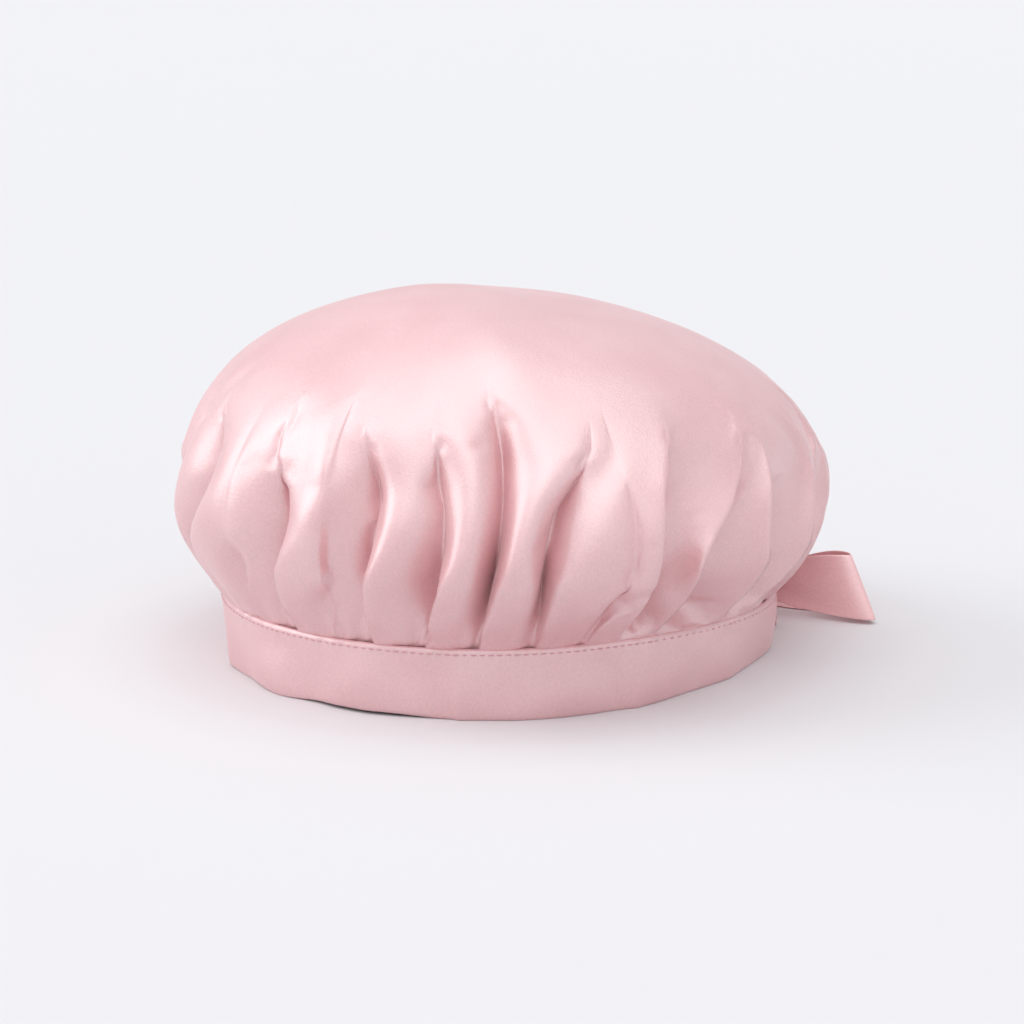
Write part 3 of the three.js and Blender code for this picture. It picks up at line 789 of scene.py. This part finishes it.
def stitches_on(name, point_at, degrees):
    """Stitches along a line that point_at gives by its angle."""
    step = 0.4
    along = unit(point_at(degrees + step) - point_at(degrees - step))
    outward = unit(np.cross(along, np.broadcast_to(UPWARD, along.shape)))
    return stitch_row(name, point_at(degrees), along, outward, STITCH_LENGTH, STITCH_RADIUS)


def make_topstitch():
    deg = np.linspace(BAND_FROM + STITCH_INSET, BAND_TO - STITCH_INSET, STITCHES)

    def on_band(at):
        return band_point(at, band_top(at) - STITCH_DROP, STITCH_OUT)

    return stitches_on("band_stitches", on_band, deg)


# Nape casing, ruched by the elastic inside it

CASING_FROM = NAPE - CASING_HALF_SPAN + END_GAP
CASING_TO = NAPE + CASING_HALF_SPAN - END_GAP
CASING_STEPS = 150
CASING_SAMPLES = np.linspace(0.0, 1.0, 9)
CASING_FOLD = [(0.02, 1.2), (0.0, 0.02), (0.02, -1.0)]
CASING_OUTER = 2.2
CASING_EDGE = 1.1
CASING_INNER = -1.7
CASING_END = 2.0
RUCHES = 15
RUCHE_PUFF = 0.75
RUCHE_SINK = 1.35
RUCHE_EDGE = 0.45
RUCHE_MARGIN = 0.02

# Uneven spacing and lean of the ruches: height, seed and waves
RUCHE_SHIFT = (0.9, 21, (6, 12, 18))
RUCHE_LEAN = (0.5, 22, (9, 27))

ELASTIC_STEPS = 60
ELASTIC_HEIGHTS = np.linspace(1.3, 13.3, 5)
ELASTIC_THICKNESS = 0.9
ELASTIC_INSET = 1.0
CASING_STITCHES = 34
CASING_STITCH_INSET = 1.2
CASING_STITCH_SHARE = 0.91
CASING_STITCH_OUT = 2.25


def casing_point(deg, share, out):
    """A point on the casing: share of its height, out from the oval's line."""
    deg, share, out = np.broadcast_arrays(
        np.asarray(deg, float), np.asarray(share, float), np.asarray(out, float))
    phase = (deg - CASING_FROM) / (CASING_TO - CASING_FROM) * RUCHES * 2.0 * math.pi
    phase = phase + ripple(deg, *RUCHE_SHIFT) + (share - 0.5) * ripple(deg, *RUCHE_LEAN)
    wave = np.cos(phase)
    within = np.clip(share, RUCHE_MARGIN, 1.0 - RUCHE_MARGIN)
    fullness = RUCHE_EDGE + (1.0 - RUCHE_EDGE) * np.sin(math.pi * within)
    puff = RUCHE_PUFF * np.where(wave > 0.0, wave, RUCHE_SINK * wave) * fullness
    ends = rising(deg, CASING_FROM, CASING_END) * smooth((CASING_TO - deg) / CASING_END)
    return beside_oval(deg, out + np.sign(out) * puff * ends, share * CASING_HEIGHT)


def make_casing():
    outer = [(1.0 - s, CASING_OUTER if s > 0.0 else CASING_EDGE) for s in CASING_SAMPLES[:-1]]
    inner = [(s, CASING_INNER) for s in CASING_SAMPLES[1:]]
    deg = np.linspace(CASING_FROM, CASING_TO, CASING_STEPS)
    points = np.stack([casing_point(deg, share, out) for share, out in outer + CASING_FOLD + inner])
    obj = grid_piece("casing", points, SATIN)
    obj.data.flip_normals()
    thicken(obj, CLOTH_THICKNESS, 0.0)
    soften(obj)
    return obj


def make_casing_stitches():
    deg = np.linspace(CASING_FROM + CASING_STITCH_INSET, CASING_TO - CASING_STITCH_INSET, CASING_STITCHES)

    def on_casing(at):
        return casing_point(at, CASING_STITCH_SHARE, CASING_STITCH_OUT)

    return stitches_on("casing_stitches", on_casing, deg)


def make_elastic():
    """The flat elastic inside the casing; it stretches with it."""
    deg = np.linspace(CASING_FROM + ELASTIC_INSET, CASING_TO - ELASTIC_INSET, ELASTIC_STEPS)
    points = np.stack([casing_point(deg, share, 0.0) for share in ELASTIC_HEIGHTS / CASING_HEIGHT])
    obj = grid_piece("elastic", points, ELASTIC)
    thicken(obj, ELASTIC_THICKNESS, 0.0)
    return obj


# Bow: knot, two standing loops and two flat tails of one ribbon

RIBBON_WIDTH = 23.5
KNOT_Y = 92.268
KNOT_LOW = 1.2
KNOT_HEIGHT = 16.0
KNOT_MID = KNOT_LOW + KNOT_HEIGHT / 2
KNOT_HALF_WIDTH = 7.0
KNOT_HALF_DEPTH = 5.3
KNOT_THICKNESS = 0.6
KNOT_WAIST = 0.66
KNOT_FULLNESS = 0.55
KNOT_CREASE = 0.45
KNOT_CREASES = 6
KNOT_TWIST = 1.2
KNOT_TWIST_PACE = 3.0
KNOT_WOBBLE = 0.2
KNOT_WOBBLES = 11
KNOT_WOBBLE_LEAN = 5.0

LOOP_LENGTH = 58.6
LOOP_HALF_GAP = 6.5
LOOP_PINCH = 8.5
LOOP_SLANT = 11.5
LOOP_STAND = 22.0
LOOP_TURN = 6.5
LOOP_LOW = 1.5
LOOP_ROOT = LOOP_HALF_GAP**2 / (LOOP_LENGTH / 2)
LOOP_PIVOT_X = 9.208
LOOP_BELLY = 0.8

# Creases at the loop's root and the flare of its lower near edge, as start and span along the loop
LOOP_CREASE = 0.9
LOOP_CREASES = 3.0
LOOP_CREASE_GROWTH = (0.0, 0.12)
LOOP_CREASE_FADE = (0.1, 0.55)
LOOP_FLARE = 3.0
LOOP_FLARE_FALL = 6
LOOP_FLARE_GROWTH = (0.0, 0.3)
LOOP_FLARE_FADE = (0.4, 0.6)

TAIL_PIVOT_X = 3.9
TAIL_LENGTH = 52.0
TAIL_ROOT = 7.0
TAIL_FLARE = 24.0
TAIL_SLANT = 9.0
TAIL_TURN = 25.0
TAIL_LIFT = 0.3
TAIL_CREASE = 0.14
TAIL_CREASES = 3.0
TAIL_CREASE_FADE = (4.0, 26.0)


def ribbon(name, points, side, pivot_x, turn_deg, closed):
    """A length of ribbon, turned about its joint beside the knot and mirrored for the right side."""
    turn = math.radians(turn_deg)
    c, s = math.cos(turn), math.sin(turn)
    x = points[..., 0] * c - points[..., 1] * s
    y = points[..., 0] * s + points[..., 1] * c
    points = np.stack([side * (x + pivot_x), y + KNOT_Y, points[..., 2]], -1)
    # Ribbon satin whose colour is painted lighter than the crown's, as painted light
    obj = grid_piece(name, points, RIBBON_SATIN_PAINTED_LIGHTER, closed_cols=closed)
    if side < 0:
        obj.data.flip_normals()
    thicken(obj, CLOTH_THICKNESS, 0.0)
    soften(obj)
    return obj


def make_loop(name, side, crease_phase):
    steps, rows = 88, 13
    turn = 2.0 * math.pi * np.arange(steps) / steps
    share = (1.0 - np.cos(turn)) / 2.0
    spread = smooth(share)
    bottom = (KNOT_MID - LOOP_PINCH / 2) * (1 - spread) + LOOP_LOW * spread
    top = (KNOT_MID + LOOP_PINCH / 2) * (1 - spread) + (LOOP_LOW + LOOP_STAND) * spread
    creased = rising(share, *LOOP_CREASE_GROWTH) * (1 - rising(share, *LOOP_CREASE_FADE))
    flared = rising(share, *LOOP_FLARE_GROWTH) * (1 - rising(share, *LOOP_FLARE_FADE))
    points = np.zeros((rows, steps, 3))
    for i, h in enumerate(np.linspace(0.0, 1.0, rows)):
        crease = LOOP_CREASE * math.sin(LOOP_CREASES * math.pi * h + crease_phase) * creased
        belly = LOOP_BELLY * math.sin(math.pi * h) * np.sin(turn)
        flare = LOOP_FLARE * (1 - h) ** LOOP_FLARE_FALL * flared
        points[i, :, 0] = LOOP_LENGTH * share - LOOP_ROOT - LOOP_SLANT * spread * h
        points[i, :, 1] = LOOP_HALF_GAP * np.sin(turn) + belly + crease * np.sign(np.sin(turn))
        points[i, :, 1] -= flare * (np.sin(turn) < 0.0)
        points[i, :, 2] = bottom + (top - bottom) * h
    return ribbon(name, points, side, LOOP_PIVOT_X, LOOP_TURN, closed=True)


def make_tail(name, side):
    steps, rows = 26, 9
    along = np.linspace(0.0, 1.0, steps)
    half = TAIL_ROOT / 2 + (RIBBON_WIDTH - TAIL_ROOT) / 2 * smooth(along * TAIL_LENGTH / TAIL_FLARE)
    points = np.zeros((rows, steps, 3))
    for i, a in enumerate(np.linspace(-1.0, 1.0, rows)):
        x = along * (TAIL_LENGTH - TAIL_SLANT * (1.0 + a) / 2.0)
        crease = TAIL_CREASE * (1 + math.cos(TAIL_CREASES * math.pi * a)) * (1 - rising(x, *TAIL_CREASE_FADE))
        points[i] = np.stack([x, half * a, TAIL_LIFT + crease], -1)
    return ribbon(name, points, side, TAIL_PIVOT_X, TAIL_TURN, closed=False)


def make_knot():
    rows, sides = 17, 40
    points = np.zeros((rows, sides, 3))
    turn = 2.0 * math.pi * np.arange(sides) / sides
    for i, v in enumerate(np.linspace(0.0, 1.0, rows)):
        share = KNOT_WAIST + (1.0 - KNOT_WAIST) * math.sin(math.pi * v) ** KNOT_FULLNESS
        twist = KNOT_TWIST * math.sin(KNOT_TWIST_PACE * v)
        crease = KNOT_CREASE * (0.5 - 0.5 * np.cos(KNOT_CREASES * turn + twist))
        crease = crease + KNOT_WOBBLE * np.sin(KNOT_WOBBLES * turn + KNOT_WOBBLE_LEAN * v)
        points[i, :, 0] = (KNOT_HALF_WIDTH - crease) * share * np.cos(turn)
        points[i, :, 1] = (KNOT_HALF_DEPTH - crease) * share * np.sin(turn) + KNOT_Y
        points[i, :, 2] = KNOT_LOW + KNOT_HEIGHT * v
    # The knot takes the ribbon satin, its colour painted lighter as painted light
    obj = grid_piece("knot", points, RIBBON_SATIN_PAINTED_LIGHTER, closed_cols=True)
    thicken(obj, KNOT_THICKNESS, -1.0)
    soften(obj)
    return obj


# Bar tacks: dense zigzags of thread, where the CAD has its tacks

TACK_LEAN = 0.18
TACK_RADIUS = 0.32
SIDE_TACK_WIDTH = 3.0
SIDE_TACK_PASSES = 12
BOW_TACK_PASSES = 10


def tack_box(cad_node):
    """Middle and size of a tack's box, in millimetres."""
    low, high = (np.array(corner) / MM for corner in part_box(cad_node))
    return (low + high) / 2, high - low


def bar_tack(name, middle, along, outward, width, height, passes):
    spots, ways = [], []
    for i in range(passes):
        spots.append(middle + UPWARD * (i / (passes - 1) - 0.5) * height)
        ways.append(unit(along + UPWARD * (TACK_LEAN if i % 2 else -TACK_LEAN)))
    return stitch_row(name, spots, ways, [outward] * passes, width, TACK_RADIUS)


def make_side_tack(side):
    middle, size = tack_box("side_tack_" + side)
    along = unit(np.array([OVAL_Y - middle[1], middle[0], 0.0]))
    outward = unit(np.cross(along, UPWARD))
    return bar_tack("side_bar_" + side, middle, along, outward, SIDE_TACK_WIDTH, size[2], SIDE_TACK_PASSES)


def make_bow_tack():
    middle, size = tack_box("bow_tack")
    along, outward = np.array([1.0, 0.0, 0.0]), np.array([0.0, 1.0, 0.0])
    return bar_tack("bow_bar", middle, along, outward, size[0], size[2], BOW_TACK_PASSES)


crown = make_crown()
band = make_band()
interlining = make_interlining()
topstitch = make_topstitch()
casing = make_casing()
casing_stitches = make_casing_stitches()
elastic = make_elastic()
loop_left = make_loop("loop_left_ribbon", 1, crease_phase=0.6)
loop_right = make_loop("loop_right_ribbon", -1, crease_phase=1.2)
tail_left = make_tail("tail_left_ribbon", 1)
tail_right = make_tail("tail_right_ribbon", -1)
knot = make_knot()
side_tack_left = make_side_tack("left")
side_tack_right = make_side_tack("right")
bow_tack = make_bow_tack()

# Each piece with the CAD node that it stands for and its material slot
for obj, cad_node, slot in (
    (crown, "crown_panel", "satin"),
    (band, "front_band", "satin"),
    (interlining, "band_interlining", "interlining"),
    (topstitch, "band_topstitch", "thread"),
    (casing, "rear_casing", "satin"),
    (elastic, "nape_elastic", "elastic"),
    (casing_stitches, "casing_topstitch", "thread"),
    (loop_left, "bow_loop_left", "ribbon"),
    (loop_right, "bow_loop_right", "ribbon"),
    (tail_left, "bow_tail_left", "ribbon"),
    (tail_right, "bow_tail_right", "ribbon"),
    (knot, "bow_knot", "ribbon"),
    (side_tack_left, "side_tack_left", "thread"),
    (side_tack_right, "side_tack_right", "thread"),
    (bow_tack, "bow_tack", "thread"),
):
    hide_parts(cad_node)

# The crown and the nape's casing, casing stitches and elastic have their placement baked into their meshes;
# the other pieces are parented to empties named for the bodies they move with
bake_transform(crown)
for obj in (casing, casing_stitches, elastic):
    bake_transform(obj)
for obj in (band, interlining, topstitch, side_tack_left, side_tack_right):
    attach(obj, "shell")
for obj in (knot, bow_tack):
    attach(obj, "nape")
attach(loop_left, "loop_left")
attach(loop_right, "loop_right")
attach(tail_left, "tail_left")
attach(tail_right, "tail_right")


# Pale floor, soft light from the upper left, and the photograph's camera

VIEW_TURN = math.radians(50.0)
RIGHT = Vector((math.cos(VIEW_TURN), math.sin(VIEW_TURN), 0.0))
BACK = Vector((-math.sin(VIEW_TURN), math.cos(VIEW_TURN), 0.0))
UP = Vector((0.0, 0.0, 1.0))

# The floor rises at its far rim, so that no horizon shows in the photograph's view
FLOOR_FINISH = {"Base Color": (0.779, 0.784, 0.805, 1.0), "Roughness": 0.85, "Specular IOR Level": 0.15}
FLOOR_LEVEL_HALF = 20000.0
FLOOR_HALF = 30000.0
FLOOR_RIM = 1000.0

# The world's plain light, and the background that the camera, gloss and glass see, paler at upper left
WORLD_LIGHT = {"Color": (0.97, 0.975, 1.0, 1.0), "Strength": 0.513}
SEEN_COLOUR = (0.955, 0.962, 1.0, 1.0)
SEEN_LEAN = (-0.7, 0.7)
SEEN_STRENGTH = (0.6, 0.95)

# Soft suns: where each stands to the right, to the back and up, its strength, angle and colour
LAMPS = (
    ("key", (-1.05, 0.1, 0.55), 0.95, 46.0, (1.0, 0.985, 0.98)),
    ("top", (-0.05, -0.05, 1.0), 1.18, 70.0, (1.0, 0.99, 0.985)),
    ("fill", (-0.15, -0.65, 0.7), 0.43, 60.0, (1.0, 0.99, 0.99)),
    ("bounce", (0.75, -0.6, 0.2), 0.38, 70.0, (1.0, 0.98, 0.975)),
)
CAMERA_LENS = 85.0
CAMERA_SENSOR = 36.0
CAMERA_PLACE = (0.6166, -0.5302, 0.2161)
CAMERA_TILT = math.radians(78.0)


def make_floor():
    material, _, bsdf = shader("floor_white")
    set_inputs(bsdf, FLOOR_FINISH)
    corners = [(-1, -1), (1, -1), (1, 1), (-1, 1)]
    points = [(FLOOR_LEVEL_HALF * x, FLOOR_LEVEL_HALF * y, 0.0) for x, y in corners]
    points += [(FLOOR_HALF * x, FLOOR_HALF * y, FLOOR_RIM) for x, y in corners]
    faces = [(0, 1, 2, 3), (0, 4, 5, 1), (1, 5, 6, 2), (2, 6, 7, 3), (3, 7, 4, 0)]
    piece("floor", points, faces, material)


def make_world():
    world = bpy.data.worlds.new("studio")
    bpy.context.scene.world = world
    world.use_nodes = True
    tree = world.node_tree
    light = tree.nodes["Background"]
    set_inputs(light, WORLD_LIGHT)
    seen = node(tree, "ShaderNodeBackground", {"Color": SEEN_COLOUR})
    way = node(tree, "ShaderNodeTexCoord")
    lean = node(tree, "ShaderNodeVectorMath", operation="DOT_PRODUCT")
    lean.inputs[1].default_value = (UP - RIGHT).normalized()
    tree.links.new(way.outputs["Generated"], lean.inputs[0])
    tree.links.new(ranged(tree, lean.outputs["Value"], SEEN_LEAN, SEEN_STRENGTH), seen.inputs["Strength"])
    path = node(tree, "ShaderNodeLightPath")
    mirrored = node(tree, "ShaderNodeMath", operation="MAXIMUM")
    shown = node(tree, "ShaderNodeMath", operation="MAXIMUM")
    tree.links.new(path.outputs["Is Glossy Ray"], mirrored.inputs[0])
    tree.links.new(path.outputs["Is Transmission Ray"], mirrored.inputs[1])
    tree.links.new(path.outputs["Is Camera Ray"], shown.inputs[0])
    tree.links.new(mirrored.outputs["Value"], shown.inputs[1])
    mix = node(tree, "ShaderNodeMixShader")
    tree.links.new(shown.outputs["Value"], mix.inputs[0])
    tree.links.new(light.outputs[0], mix.inputs[1])
    tree.links.new(seen.outputs[0], mix.inputs[2])
    tree.links.new(mix.outputs[0], tree.nodes["World Output"].inputs["Surface"])


def make_sun(name, place, strength, angle, colour):
    lamp = bpy.data.lights.new(name, "SUN")
    lamp.energy = strength
    lamp.angle = math.radians(angle)
    lamp.color = colour
    right, back, up = place
    towards = (right * RIGHT + back * BACK + up * UP).normalized()
    obj = bpy.data.objects.new(name, lamp)
    obj.rotation_euler = (-towards).to_track_quat("-Z", "Y").to_euler()
    bpy.context.scene.collection.objects.link(obj)


def make_camera():
    camera = bpy.data.cameras.new("camera")
    camera.lens = CAMERA_LENS
    camera.sensor_width = CAMERA_SENSOR
    view = bpy.data.objects.new("camera", camera)
    view.location = CAMERA_PLACE
    view.rotation_euler = (CAMERA_TILT, 0.0, VIEW_TURN)
    bpy.context.scene.collection.objects.link(view)
    bpy.context.scene.camera = view


make_floor()
make_world()
for lamp_values in LAMPS:
    make_sun(*lamp_values)
make_camera()
bpy.context.scene.view_settings.view_transform = "Standard"
